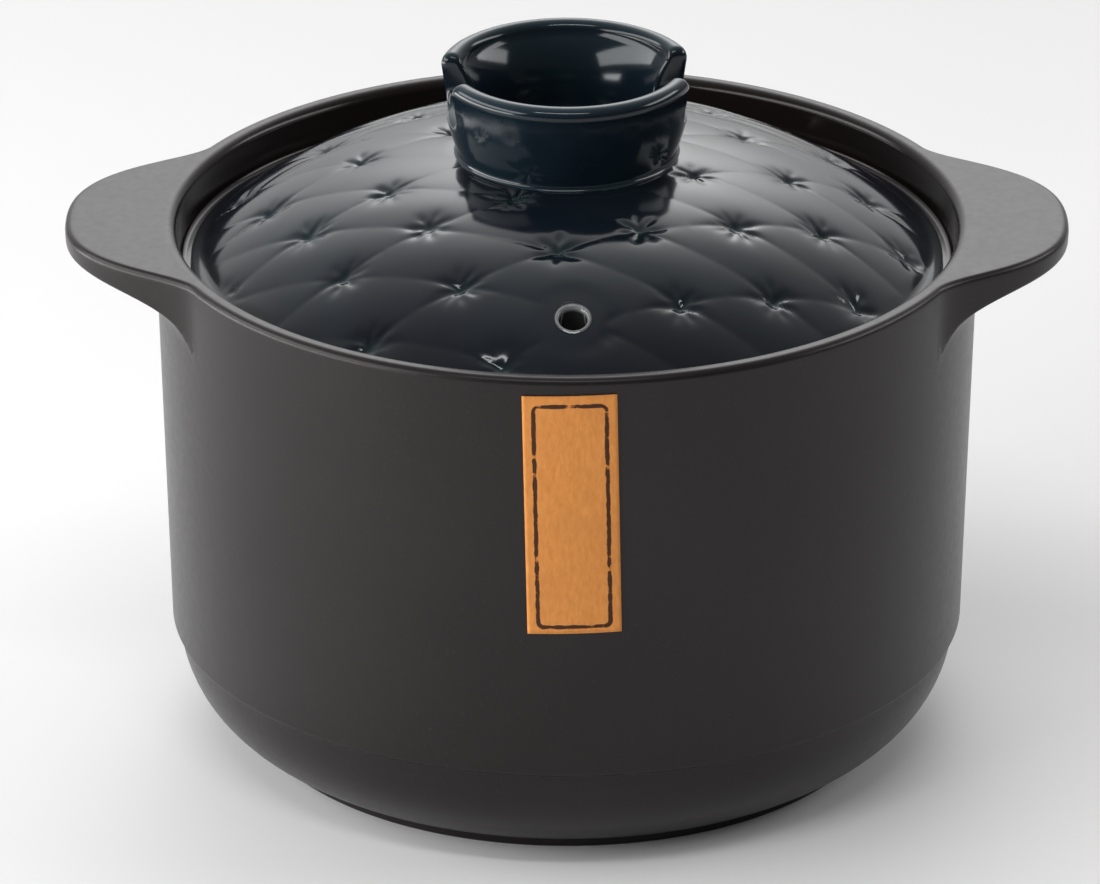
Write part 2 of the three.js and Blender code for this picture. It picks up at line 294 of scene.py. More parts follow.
def rounded(corners):
    """An outline through corners of (radius, height, rounding). The first and last corner stay sharp."""
    outline = [corners[0][:2]]
    for before, here, after in zip(corners, corners[1:], corners[2:]):
        corner = Vector(here[:2])
        radius = here[2]
        if radius == 0:
            outline.append(tuple(corner))
            continue
        back = (Vector(before[:2]) - corner).normalized()
        ahead = (Vector(after[:2]) - corner).normalized()
        half = back.angle(ahead) / 2
        centre = corner + (back + ahead).normalized() * radius / math.sin(half)
        spoke = corner + back * radius / math.tan(half) - centre
        sweep = spoke.angle_signed(corner + ahead * radius / math.tan(half) - centre)
        start = math.atan2(spoke.y, spoke.x)
        outline += arc(centre, radius, start, start - sweep, ROUND_STEPS)
    return outline + [corners[-1][:2]]


def spaced(points, count):
    """The same line in `count` points, spaced evenly by length and closer together where it turns."""
    line = np.array(points)
    moved = np.hypot(*np.diff(line, axis=0).T) > WELD
    line = line[np.concatenate([[True], moved])]
    steps = np.diff(line, axis=0)
    weights = np.hypot(steps[:, 0], steps[:, 1])
    turns = np.abs(np.diff(np.unwrap(np.arctan2(steps[:, 1], steps[:, 0]))))
    weights[:-1] += TURN_LENGTH * turns / 2
    weights[1:] += TURN_LENGTH * turns / 2
    along = np.concatenate([[0], np.cumsum(weights)])
    places = np.linspace(0, along[-1], count)
    return np.stack([np.interp(places, along, line[:, axis]) for axis in (0, 1)], axis=1)


def smooth_step(value, low, high):
    """0 up to low, 1 from high on, and an eased rise between."""
    share = np.clip((value - low) / (high - low), 0, 1)
    return share * share * (3 - 2 * share)


def turned(name, outline, sides):
    """A piece spun about the upright axis from an outline of (radius, height) points."""
    bpy.ops.object.select_all(action="DESELECT")
    bpy.ops.mesh.primitive_plane_add(size=START_SIZE)
    piece = bpy.context.object
    piece.name = name
    bpy.ops.object.mode_set(mode="EDIT")
    bpy.ops.mesh.select_all(action="SELECT")
    bpy.ops.mesh.merge(type="CENTER")
    line = np.array(outline)
    bpy.ops.transform.translate(value=(line[0, 0], 0, line[0, 1]))
    for radial, upward in np.diff(line, axis=0):
        bpy.ops.mesh.extrude_vertices_move(TRANSFORM_OT_translate={"value": (radial, 0, upward)})
    bpy.ops.object.mode_set(mode="OBJECT")
    lathe = piece.modifiers.new("lathe", "SCREW")
    lathe.steps = sides
    lathe.render_steps = sides
    lathe.use_merge_vertices = True
    lathe.merge_threshold = WELD_REACH
    bpy.ops.object.modifier_apply(modifier=lathe.name)
    close_up(piece)
    return piece


def close_up(piece):
    """Welds vertices that coincide and turns every face outwards."""
    bpy.ops.object.mode_set(mode="EDIT")
    bpy.ops.mesh.select_all(action="SELECT")
    bpy.ops.mesh.remove_doubles(threshold=WELD_REACH)
    bpy.ops.mesh.normals_make_consistent(inside=False)
    bpy.ops.object.mode_set(mode="OBJECT")


def sheeted(name, grid):
    """A piece whose vertices lie at grid[row, column], with edges that coincide closed up."""
    rows, columns = grid.shape[:2]
    bpy.ops.object.select_all(action="DESELECT")
    bpy.ops.mesh.primitive_grid_add(x_subdivisions=columns - 1, y_subdivisions=rows - 1, size=1)
    piece = bpy.context.object
    piece.name = name
    flat = places_of(piece)
    column = np.round((flat[:, 0] + 0.5) * (columns - 1)).astype(int)
    row = np.round((flat[:, 1] + 0.5) * (rows - 1)).astype(int)
    place(piece, grid[row, column])
    close_up(piece)
    return piece


def places_of(piece):
    """Where a piece's vertices are, one row each."""
    places = np.empty(3 * len(piece.data.vertices))
    piece.data.vertices.foreach_get("co", places)
    return places.reshape(-1, 3)


def place(piece, places):
    """Moves a piece's vertices to these places."""
    piece.data.vertices.foreach_set("co", np.ascontiguousarray(places).ravel())
    piece.data.update()


def rings_of(piece, outline):
    """For each vertex of a turned piece, the point of the outline that it was spun from."""
    places = places_of(piece)
    radius = np.hypot(places[:, 0], places[:, 1])[:, None]
    line = np.array(outline)[None]
    return np.hypot(radius - line[:, :, 0], places[:, 2:] - line[:, :, 1]).argmin(axis=1)


def note(piece, name, values):
    """Keeps one value a vertex on the piece, for its material to read."""
    attribute = piece.data.attributes.new(name, "FLOAT", "POINT")
    attribute.data.foreach_set("value", values.astype(np.float32))


def smooth(piece):
    """Shades a piece smooth all over."""
    bpy.ops.object.select_all(action="DESELECT")
    piece.select_set(True)
    bpy.context.view_layer.objects.active = piece
    bpy.ops.object.shade_smooth()


def wall_radius(height):
    """Outer radius of the straight wall."""
    share = (height - SHOULDER_HEIGHT) / (POT_HEIGHT - RIM_ROUND - SHOULDER_HEIGHT)
    return SHOULDER_RADIUS + (WALL_TOP_RADIUS - SHOULDER_RADIUS) * share


def lower_outline():
    """Outline from the middle of the underside, round the foot and bowl, to the wall below the handles."""
    foot_inside = FOOT_RADIUS - FOOT_WIDTH
    bowl_foot = (FOOT_RADIUS + FOOT_SETBACK, FOOT_HEIGHT)
    bowl_top = (SHOULDER_RADIUS - SHOULDER_STEP, SHOULDER_HEIGHT - SHOULDER_DROP)
    along = (Vector(bowl_top) - Vector(bowl_foot)).normalized()
    middle = (Vector(bowl_top) + Vector(bowl_foot)) / 2
    control = middle + Vector((along.y, -along.x)) * 2 * BOWL_BULGE
    bowl = curve(bowl_foot, control, bowl_top, BOWL_STEPS)
    foot = rounded([
        (0, FOOT_HEIGHT, 0),
        (foot_inside, FOOT_HEIGHT, FOOT_ROUND),
        (foot_inside, 0, FOOT_ROUND),
        (FOOT_RADIUS, 0, FOOT_ROUND),
        (FOOT_RADIUS, FOOT_HEIGHT, FOOT_ROUND),
        (*bowl_foot, FOOT_ROUND),
        (*bowl[1], 0),
    ])
    shoulder = rounded([
        (*bowl[-2], 0),
        (*bowl_top, SHOULDER_ROUND),
        (SHOULDER_RADIUS, SHOULDER_HEIGHT, SHOULDER_ROUND),
        (wall_radius(HANDLE_START), HANDLE_START, 0),
    ])
    return foot[:-1] + bowl[1:-2] + shoulder[:-1]


def edge_outline(share):
    """Outline from the wall, round a handle's edge and over the rim, where it has a share of its reach."""
    reach = HANDLE_REACH * share
    under = POT_HEIGHT - HANDLE_TIP_THICKNESS + HANDLE_SWEEP * math.log(share + HANDLE_SWEEP_END)
    root = under - HANDLE_ROOT_DROP * math.sqrt(share)
    lean = HANDLE_ROOT_LEAN * share
    edge = min(HANDLE_EDGE_ROUND, reach / 2)
    edge_radius = wall_radius(under) + reach - edge
    top_radius = WALL_TOP_RADIUS + reach - RIM_ROUND
    inner_radius = WALL_TOP_RADIUS - RIM_THICKNESS + RIM_INNER_ROUND
    side = [(wall_radius(HANDLE_START), HANDLE_START)]
    side += curve(
        (wall_radius(root), root),
        (wall_radius(under) + lean, under - lean),
        (edge_radius, under),
        HANDLE_UNDER_STEPS,
    )
    side += arc((edge_radius, under + edge), edge, -math.pi / 2, 0, HANDLE_ROUND_STEPS)
    side += [(top_radius + RIM_ROUND, POT_HEIGHT - RIM_ROUND)]
    quarter = math.pi / 2
    top = arc((top_radius, POT_HEIGHT - RIM_ROUND), RIM_ROUND, 0, quarter, HANDLE_ROUND_STEPS)
    inner_middle = (inner_radius, POT_HEIGHT - RIM_INNER_ROUND)
    top += arc(inner_middle, RIM_INNER_ROUND, quarter, math.pi, HANDLE_ROUND_STEPS)
    return np.concatenate([spaced(side, HANDLE_SIDE_RINGS), spaced(top, HANDLE_TOP_RINGS)[1:]])


def inner_outline():
    """Outline from inside the rim, over the gallery that carries the lid, to the middle of the floor."""
    under_gallery = GALLERY_HEIGHT - GALLERY_THICKNESS
    inside_top = under_gallery - GALLERY_THICKNESS
    inside_radius = wall_radius(inside_top) - WALL_THICKNESS
    floor_radius = wall_radius(FLOOR_HEIGHT) - WALL_THICKNESS
    return rounded([
        (WALL_TOP_RADIUS - RIM_THICKNESS, POT_HEIGHT - RIM_INNER_ROUND, 0),
        (GALLERY_RADIUS, GALLERY_HEIGHT, GALLERY_ROUND),
        (MOUTH_RADIUS, GALLERY_HEIGHT, GALLERY_ROUND),
        (MOUTH_RADIUS, under_gallery, GALLERY_ROUND),
        (inside_radius, inside_top, GALLERY_ROUND),
        (floor_radius, FLOOR_HEIGHT, INSIDE_CORNER_ROUND),
        (0, FLOOR_HEIGHT, 0),
    ])[1:]


def handle_share(angle):
    """Share of the handle's full reach at an angle round the pot, for a handle at each end of X."""
    aside = np.abs(np.arctan(np.tan(angle)))
    spread = np.minimum((aside / HANDLE_HALF_ANGLE) ** HANDLE_FULLNESS, 1)
    return np.cos(math.pi / 2 * spread) ** 2


def make_vessel():
    """The vessel with its two handles drawn out of the wall in one smooth skin of glaze."""
    lower, edge, inner = lower_outline(), edge_outline(0), inner_outline()
    outline = np.concatenate([lower, edge, inner])
    vessel = turned("vessel", outline, VESSEL_SIDES)
    ring = rings_of(vessel, outline)
    places = places_of(vessel)
    column = np.round(np.arctan2(places[:, 1], places[:, 0]) * VESSEL_SIDES / math.tau).astype(int)
    angles = np.arange(VESSEL_SIDES) * math.tau / VESSEL_SIDES
    drawn = np.array([edge_outline(share) for share in handle_share(angles)])
    on_edge = (ring >= len(lower)) & (ring < len(lower) + len(edge))
    column = column[on_edge] % VESSEL_SIDES
    section = drawn[column, ring[on_edge] - len(lower)]
    places[on_edge, 0] = section[:, 0] * np.cos(angles[column])
    places[on_edge, 1] = section[:, 0] * np.sin(angles[column])
    places[on_edge, 2] = section[:, 1]
    place(vessel, places)
    radius = np.hypot(places[:, 0], places[:, 1])
    crest = WALL_TOP_RADIUS - RIM_THICKNESS + RIM_INNER_ROUND / 2
    inside = 1 - smooth_step(radius, crest - RIM_INNER_ROUND / 2, crest + RIM_INNER_ROUND / 2)
    note(vessel, "inner_glaze", np.where(ring < len(lower), 0, inside))
    smooth(vessel)
    return vessel


def dome_height(radius):
    """Height of the lid's top, without its relief."""
    return DOME_EDGE_HEIGHT + LID_RISE * (1 - (radius / DOME_EDGE_RADIUS) ** LID_FULLNESS)


def lid_outlines():
    """Outline of the lid's underside and edge, and of its dome."""
    inner_rise = 1 - (LID_BASE + LID_THICKNESS - DOME_EDGE_HEIGHT) / LID_RISE
    inner_edge = DOME_EDGE_RADIUS * inner_rise ** (1 / LID_FULLNESS)
    inside = [(r, dome_height(r) - LID_THICKNESS) for r in np.linspace(0, inner_edge, LID_INSIDE_RINGS)]
    foot = rounded([
        (*inside[-2], 0),
        (*inside[-1], LID_EDGE_ROUND),
        (LID_RADIUS, LID_BASE, LID_EDGE_ROUND),
        (LID_RADIUS, LID_BASE + LID_EDGE_HEIGHT - LID_EDGE_DROP, 0),
    ])
    edge = curve(
        foot[-2],
        (LID_RADIUS, DOME_EDGE_HEIGHT - LID_EDGE_DROP),
        (DOME_EDGE_RADIUS, DOME_EDGE_HEIGHT),
        ROUND_STEPS,
    )
    outer = np.linspace(DOME_EDGE_RADIUS, KNOB_BASE_RADIUS, DOME_RINGS)
    middle = np.linspace(KNOB_BASE_RADIUS, 0, DOME_MIDDLE_RINGS)
    dome = [(r, dome_height(r)) for r in (*outer[1:], *middle[1:])]
    return inside[:-1] + foot[1:-1] + edge[1:], dome


def scatter(column, row, seed):
    """A fixed number from -1 to 1 for each tuft, another one for each seed."""
    mixed = column * SCATTER_COLUMN + row * SCATTER_ROW + seed * SCATTER_SEED
    wild = np.sin(mixed) * SCATTER_SPREAD
    return 2 * (wild - np.floor(wild)) - 1


def varied(column, row, seed):
    """A share of up to 1 for each tuft, another one for each seed."""
    return 1 - TUFT_VARIETY + TUFT_VARIETY * scatter(column, row, seed)


def tuft_relief(x, y):
    """How deep the relief is pressed in at places on the lid, and how near they are to a tuft or crease."""
    from_x, from_y = x - TUFT_START[0], y - TUFT_START[1]
    along = (from_x * math.cos(TUFT_TURN) + from_y * math.sin(TUFT_TURN)) / TUFT_PITCH
    across = (from_y * math.cos(TUFT_TURN) - from_x * math.sin(TUFT_TURN)) / TUFT_PITCH
    column, row = np.round(along), np.round(across)
    beside = (along - column) * TUFT_PITCH + TUFT_SHIFT * scatter(column, row, 1)
    ahead = (across - row) * TUFT_PITCH + TUFT_SHIFT * scatter(column, row, 2)
    distance = np.hypot(beside, ahead)
    pit = np.exp(-((distance / PIT_WIDTH) ** 2))
    dish = np.exp(-((distance / DISH_WIDTH) ** 2))
    slanted = along + across
    to_row = np.abs(across - row) * TUFT_PITCH
    to_slant = np.abs(slanted - np.round(slanted)) * TUFT_PITCH / math.sqrt(2)
    row_crease = np.exp(-to_row / CREASE_WIDTH) * varied(column, row, 5)
    slant_crease = np.exp(-to_slant / CREASE_WIDTH) * varied(column, row, 6)
    crease = np.maximum(row_crease, slant_crease)
    crease *= CREASE_MIDDLE + (1 - CREASE_MIDDLE) * np.exp(-((distance / CREASE_REACH) ** 2))
    bearing = np.arctan2(ahead, beside)
    ray_count = RAY_COUNT + np.round(scatter(column, row, 7))
    half_turn = ray_count / 2 * bearing + math.pi * scatter(column, row, 3)
    rays = (1 - np.abs(np.cos(half_turn))) * np.exp(-(((distance - RAY_RADIUS) / RAY_SPREAD) ** 2))
    rays *= 1 - TUFT_VARIETY + TUFT_VARIETY * np.cos(bearing + math.pi * scatter(column, row, 8))
    pillow = np.sqrt(np.sin(math.pi * across) ** 2 * np.sin(math.pi * slanted) ** 2 + PILLOW_SOFT**2)
    radius = np.hypot(x, y)
    outward = (radius / DOME_EDGE_RADIUS) ** 2
    strength = TUFT_MIDDLE_STRENGTH + (TUFT_EDGE_STRENGTH - TUFT_MIDDLE_STRENGTH) * outward
    depth = strength * (DISH_DEPTH * dish + CREASE_DEPTH * crease - PILLOW_HEIGHT * pillow)
    depth += PIT_DEPTH * pit * (1 + TUFT_VARIETY * scatter(column, row, 4)) + RAY_DEPTH * rays
    fade = smooth_step(radius, KNOB_BASE_RADIUS, KNOB_BASE_RADIUS + TUFT_KNOB_FADE)
    fade *= 1 - smooth_step(radius, DOME_EDGE_RADIUS - TUFT_EDGE_FADE, DOME_EDGE_RADIUS)
    fade *= smooth_step(np.hypot(x - HOLE_X, y - HOLE_Y), HOLE_PATCH, HOLE_CALM)
    return depth * fade, np.clip(pit + CREASE_NEARNESS * crease + rays, 0, 1) * fade


def open_steam_hole(lid):
    """Opens the steam hole through the lid, with a rolled lip round its top."""
    bpy.ops.object.select_all(action="DESELECT")
    lid.select_set(True)
    bpy.context.view_layer.objects.active = lid
    mesh = lid.data
    centres = np.empty(3 * len(mesh.polygons))
    mesh.polygons.foreach_get("center", centres)
    centres = centres.reshape(-1, 3)
    pick(mesh.vertices, np.zeros(len(mesh.vertices), bool))
    pick(mesh.edges, np.zeros(len(mesh.edges), bool))
    pick(mesh.polygons, np.hypot(centres[:, 0] - HOLE_X, centres[:, 1] - HOLE_Y) < HOLE_PATCH)
    bpy.ops.object.mode_set(mode="EDIT")
    bpy.ops.mesh.select_mode(type="FACE")
    bpy.ops.mesh.delete(type="FACE")
    bpy.ops.mesh.select_mode(type="EDGE")
    bpy.ops.object.mode_set(mode="OBJECT")
    select_hole_edge(mesh, above=DOME_EDGE_HEIGHT + LID_THICKNESS)
    for distance, height, evenness in HOLE_LIP:
        bpy.ops.object.mode_set(mode="EDIT")
        bpy.ops.mesh.extrude_edges_move()
        bpy.ops.object.mode_set(mode="OBJECT")
        set_hole_ring(mesh, distance, height, evenness)
    bpy.ops.object.mode_set(mode="EDIT")
    bpy.ops.mesh.select_mode(type="VERT")
    bpy.ops.mesh.select_non_manifold(extend=False)
    bpy.ops.mesh.bridge_edge_loops()
    bpy.ops.mesh.select_all(action="SELECT")
    bpy.ops.mesh.normals_make_consistent(inside=False)
    bpy.ops.object.mode_set(mode="OBJECT")


def pick(elements, chosen):
    """Selects the chosen vertices, edges or faces of a mesh, and no others of their kind."""
    elements.foreach_set("select", chosen)


def select_hole_edge(mesh, above):
    """Selects the open edge of the hole in the lid's top."""
    edge_of_corner = np.empty(len(mesh.loops), np.int32)
    mesh.loops.foreach_get("edge_index", edge_of_corner)
    ends = np.empty(2 * len(mesh.edges), np.int32)
    mesh.edges.foreach_get("vertices", ends)
    ends = ends.reshape(-1, 2)
    heights = np.empty(3 * len(mesh.vertices))
    mesh.vertices.foreach_get("co", heights)
    high = heights[2::3] > above
    is_open = np.bincount(edge_of_corner, minlength=len(mesh.edges)) == 1
    chosen = is_open & high[ends].all(axis=1)
    on_edge = np.zeros(len(mesh.vertices), bool)
    on_edge[ends[chosen]] = True
    pick(mesh.vertices, on_edge)
    pick(mesh.edges, chosen)


def set_hole_ring(mesh, distance, height, evenness):
    """Moves the selected loop to a ring round the hole, square to the dome there, at a height above it."""
    loop = [vertex for vertex in mesh.vertices if vertex.select]
    loop.sort(key=hole_bearing)
    own = np.array([hole_bearing(vertex) for vertex in loop])
    even = math.tau * np.arange(len(loop)) / len(loop)
    even += (own - even).mean()
    for vertex, angle in zip(loop, own + (even - own) * evenness):
        x = HOLE_X + distance * math.cos(angle)
        y = HOLE_Y + distance * math.sin(angle) * HOLE_SQUASH
        vertex.co = (x, y, dome_height(math.hypot(x, y)) + height)


def hole_bearing(vertex):
    """The angle of a vertex round the steam hole."""
    return math.atan2((vertex.co.y - HOLE_Y) / HOLE_SQUASH, vertex.co.x - HOLE_X)


def make_lid():
    """The domed lid with its tufted relief and steam hole."""
    under, dome = lid_outlines()
    outline = np.array(under + dome)
    lid = turned("lid", outline, LID_SIDES)
    on_dome = rings_of(lid, outline) >= len(under)
    places = places_of(lid)
    depth, nearness = tuft_relief(places[:, 0], places[:, 1])
    places[on_dome, 2] -= depth[on_dome]
    place(lid, places)
    note(lid, "tufted", np.where(on_dome, nearness, 0))
    open_steam_hole(lid)
    places = places_of(lid)
    from_hole = np.hypot(places[:, 0] - HOLE_X, (places[:, 1] - HOLE_Y) / HOLE_SQUASH)
    below = dome_height(np.hypot(places[:, 0], places[:, 1])) - places[:, 2]
    note(lid, "bare_clay", (from_hole < HOLE_BARE_REACH) & (below > HOLE_BARE_DEPTH))
    # The top of the steam hole's lip, where a painted highlight goes
    note(lid, "painted_hole_highlight", (from_hole < HOLE_HIGHLIGHT_REACH) & (below < HOLE_BARE_DEPTH))
    smooth(lid)
    return lid


def knob_edge_line():
    """Middle line of the knob's lip for half a turn, down through one notch and up again. Each row holds the
    way round, the height, and the direction out of the clay as its parts round and up."""
    side = NOTCH_WIDTH / 2 + NOTCH_SIDE_ROUND
    corner = NOTCH_CORNER + (KNOB_LIP_ROUND + NOTCH_SIDE_ROUND) / 2
    floor = NOTCH_FLOOR - KNOB_LIP_ROUND
    end = math.pi / 2 * knob_middle_radius(KNOB_LIP_HEIGHT)
    rows = [(u, floor, 0, 1) for u in np.linspace(0, side - corner, NOTCH_FLOOR_STEPS + 1)[:-1]]
    for angle in np.linspace(-math.pi / 2, 0, NOTCH_CORNER_STEPS + 1):
        round_way, up = math.cos(angle), math.sin(angle)
        rows.append((side - corner + corner * round_way, floor + corner + corner * up, -round_way, -up))
    top = KNOB_LIP_HEIGHT - NOTCH_SHOULDER
    rows += [(side, z, -1, 0) for z in np.linspace(floor + corner, top, NOTCH_SIDE_STEPS + 1)[1:-1]]
    for angle in np.linspace(math.pi, math.pi / 2, NOTCH_SHOULDER_STEPS + 1):
        round_way, up = math.cos(angle), math.sin(angle)
        rows.append((side + NOTCH_SHOULDER * (1 + round_way), top + NOTCH_SHOULDER * up, round_way, up))
    lip = np.linspace(side + NOTCH_SHOULDER, end, KNOB_ROUND_STEPS + 1)[1:]
    rows += [(u, KNOB_LIP_HEIGHT, 0, 1) for u in lip]
    half = np.array(rows)
    mirrored = half[:0:-1] * np.array([-1, 1, -1, 1])
    return np.concatenate([mirrored, half])


def knob_outer_radius(height):
    """Outer radius of the knob's wall, without the fillet at its foot."""
    seat = dome_height(KNOB_BASE_RADIUS)
    line = np.array(curve(
        (KNOB_BASE_RADIUS, seat),
        (KNOB_BELLY_RADIUS, seat + KNOB_BELLY_HEIGHT),
        (KNOB_LIP_RADIUS, KNOB_LIP_HEIGHT),
        KNOB_PROFILE_STEPS,
    ))
    return np.interp(height, line[:, 1], line[:, 0])


def knob_inner_radius(height):
    """Inner radius of the knob's wall, without the fillet at its foot."""
    seat = dome_height(KNOB_BASE_RADIUS)
    share = np.clip((height - seat) / (KNOB_LIP_HEIGHT - seat), 0, 1)
    base = KNOB_BASE_RADIUS - KNOB_WALL
    lip = KNOB_LIP_RADIUS - 2 * KNOB_LIP_ROUND
    return base + (lip - base) * share**KNOB_INNER_FLARE


def knob_middle_radius(height):
    """Radius of the middle of the knob's wall."""
    return (knob_outer_radius(height) + knob_inner_radius(height)) / 2


def round_points(angle, radius, height):
    """Points at these angles round the upright axis, distances from it and heights."""
    return np.stack([radius * np.cos(angle), radius * np.sin(angle), height], axis=-1)


def knob_wall_rows(foot, edge_angle, edge_height, inner):
    """Rings of the knob's outer or inner wall, from under its foot up to its lip."""
    radius_of = knob_inner_radius if inner else knob_outer_radius
    fillet = -KNOB_INNER_FILLET if inner else KNOB_FILLET
    fillet_height = KNOB_INNER_FILLET_HEIGHT if inner else KNOB_FILLET_HEIGHT
    seat_radius = KNOB_BASE_RADIUS - (KNOB_WALL if inner else 0) + fillet
    seat = dome_height(seat_radius) - KNOB_SINK
    rows = []
    for share in np.linspace(0, 1, KNOB_WALL_ROWS) ** KNOB_WALL_CROWDING:
        height = seat + (edge_height - seat) * share
        angle = foot + (edge_angle - foot) * smooth_step(share, 0, 1)
        above = np.clip((height - seat) / fillet_height, 0, 1)
        rows.append(round_points(angle, radius_of(height) + fillet * (1 - above) ** 2, height))
    return rows


def leaned(grid):
    """The knob's vertices, let down a little towards the front as on a ring set by hand."""
    seat = dome_height(KNOB_BASE_RADIUS)
    rise = np.clip((grid[..., 2] - seat) / (knob_top - seat), 0, 1)
    frontward = (1 - grid[..., 1] / KNOB_LIP_RADIUS) / 2
    drop = KNOB_BACK_DROP + (KNOB_FRONT_DROP - KNOB_BACK_DROP) * frontward
    return grid - np.stack([0 * drop, 0 * drop, drop * rise], axis=-1)


def make_knob():
    """The ring knob, with a rolled lip that runs down through both notches, and a fillet on to the lid."""
    line = knob_edge_line()
    half = len(line)
    along = np.concatenate([[0], np.cumsum(np.hypot(*np.diff(line[:, :2], axis=0).T))])
    foot = math.pi * (along / along[-1] - 0.5)
    foot = np.concatenate([foot[:-1], foot + math.pi]) + KNOB_TURN
    line = np.concatenate([line[:-1], line])
    scale = knob_middle_radius(KNOB_LIP_HEIGHT)
    turn = np.concatenate([np.zeros(half - 1), np.full(half, math.pi)]) + KNOB_TURN
    edge_angle = line[:, 0] / scale + turn
    edge_angle -= NOTCH_FORWARD * np.cos(edge_angle)
    edge_height = line[:, 1]
    middle = knob_middle_radius(edge_height)
    thickness = knob_outer_radius(edge_height) - middle
    rows = knob_wall_rows(foot, edge_angle, edge_height, inner=False)
    upright = line[:, 3] ** 2
    bulge = NOTCH_SIDE_ROUND + (KNOB_LIP_ROUND - NOTCH_SIDE_ROUND) * upright
    squareness = NOTCH_SQUARENESS + (1 - NOTCH_SQUARENESS) * upright
    for swing in np.linspace(0, math.pi, KNOB_LIP_ROWS)[1:-1]:
        out = bulge * math.sin(swing) ** squareness
        side = math.copysign(1, math.cos(swing)) * abs(math.cos(swing)) ** squareness
        angle = edge_angle + out * line[:, 2] / scale
        rows.append(round_points(angle, middle + thickness * side, edge_height + out * line[:, 3]))
    rows += knob_wall_rows(foot, edge_angle, edge_height, inner=True)[::-1]
    rows.append(rows[0])
    knob = sheeted("knob", leaned(np.array(rows)))
    smooth(knob)
    return knob


def make_label():
    """The paper label, wrapped on the wall with its slight tilt."""
    across = np.linspace(-0.5, 0.5, LABEL_COLUMNS + 1) * LABEL_WIDTH
    upward = np.linspace(-0.5, 0.5, LABEL_ROWS + 1) * LABEL_LENGTH
    x, z = np.meshgrid(across, upward)
    along = x * math.cos(LABEL_TILT) - z * math.sin(LABEL_TILT)
    height = LABEL_MIDDLE + x * math.sin(LABEL_TILT) + z * math.cos(LABEL_TILT)
    radius = wall_radius(height) + LABEL_LIFT
    angle = (LABEL_OFFSET + along) / radius - math.pi / 2
    label = sheeted("paper_label", round_points(angle, radius, height))
    thicken = label.modifiers.new("paper", "SOLIDIFY")
    thicken.thickness = LABEL_THICKNESS
    thicken.offset = 1
    bpy.ops.object.modifier_apply(modifier=thicken.name)
    smooth(label)
    return label


def add(tree, kind, inputs=None, **settings):
    """A node of a kind with these settings, its inputs given as values or as sockets to link."""
    node = tree.nodes.new(kind)
    for name, value in settings.items():
        setattr(node, name, value)
    for name, value in (inputs or {}).items():
        if isinstance(value, bpy.types.NodeSocket):
            tree.links.new(value, node.inputs[name])
        else:
            node.inputs[name].default_value = value
    return node


def begin_material(name):
    """A new material: its node tree, its shader and the piece's own coordinates."""
    material = bpy.data.materials.new(name)
    material.use_nodes = True
    tree = material.node_tree
    coordinates = add(tree, "ShaderNodeTexCoord").outputs["Object"]
    return material, tree, tree.nodes["Principled BSDF"], coordinates


def noise(tree, coordinates, scale, detail=3, roughness=0.5):
    """A cloudy value with features about 1 / scale metres across."""
    inputs = {"Vector": coordinates, "Scale": scale, "Detail": detail, "Roughness": roughness}
    return add(tree, "ShaderNodeTexNoise", inputs).outputs["Fac"]


def ranged(tree, value, low, high, first, last):
    """The value, taken from the range low to high on to the range first to last."""
    inputs = {"Value": value, "From Min": low, "From Max": high, "To Min": first, "To Max": last}
    return add(tree, "ShaderNodeMapRange", inputs).outputs["Result"]


def blended(tree, share, first, second):
    """A colour that goes from first to second with share."""
    mix = add(tree, "ShaderNodeMix", {0: share, 6: first, 7: second}, data_type="RGBA")
    return mix.outputs[2]


def worked(tree, operation, first, second):
    """A value worked out from two others by a kind of sum."""
    return add(tree, "ShaderNodeMath", {0: first, 1: second}, operation=operation).outputs[0]


def read(tree, name):
    """A value noted on the piece."""
    return add(tree, "ShaderNodeAttribute", attribute_name=name).outputs["Fac"]


def bumped(tree, height, distance, strength):
    """A surface normal roughened by a height."""
    inputs = {"Height": height, "Distance": distance, "Strength": strength}
    return add(tree, "ShaderNodeBump", inputs).outputs["Normal"]


def body_glaze():
    """Satin charcoal-brown glaze with a fine speckle outside, darker and glossier inside the rim."""
    material, tree, shader, coordinates = begin_material("body_glaze")
    inside = read(tree, "inner_glaze")
    cloud = ranged(tree, noise(tree, coordinates, 16), 0.35, 0.65, 0, 1)
    colour = blended(tree, cloud, BODY_DARK, BODY_LIGHT)
    speck = ranged(tree, noise(tree, coordinates, 1500, 1), 0.64, 0.74, 0, 0.5)
    colour = blended(tree, speck, colour, BODY_SPECK)
    colour = blended(tree, inside, colour, BODY_INSIDE)
    grain = noise(tree, coordinates, 420, 4, 0.6)
    satin = ranged(tree, grain, 0.3, 0.7, 0.30, 0.36)
    gloss = worked(tree, "MULTIPLY", inside, 0.14)
    tree.links.new(colour, shader.inputs["Base Color"])
    tree.links.new(worked(tree, "SUBTRACT", satin, gloss), shader.inputs["Roughness"])
    tree.links.new(bumped(tree, grain, 0.0002, 0.04), shader.inputs["Normal"])
    shader.inputs["Specular IOR Level"].default_value = 0.29
    shader.inputs["Specular Tint"].default_value = BODY_SHINE
    return material


def glossy_glaze(name, deep, thin):
    """Glossy glaze that pools dark and clouds over to a lighter colour: its tree, colour and gloss."""
    material, tree, shader, coordinates = begin_material(name)
    cloud = ranged(tree, noise(tree, coordinates, 22, 2), 0.38, 0.62, 0, 1)
    colour = blended(tree, cloud, deep, thin)
    waves = noise(tree, coordinates, 55, 1)
    gloss = ranged(tree, noise(tree, coordinates, 90), 0.3, 0.7, 0.09, 0.15)
    tree.links.new(bumped(tree, waves, 0.0006, 0.12), shader.inputs["Normal"])
    return material, tree, colour, gloss


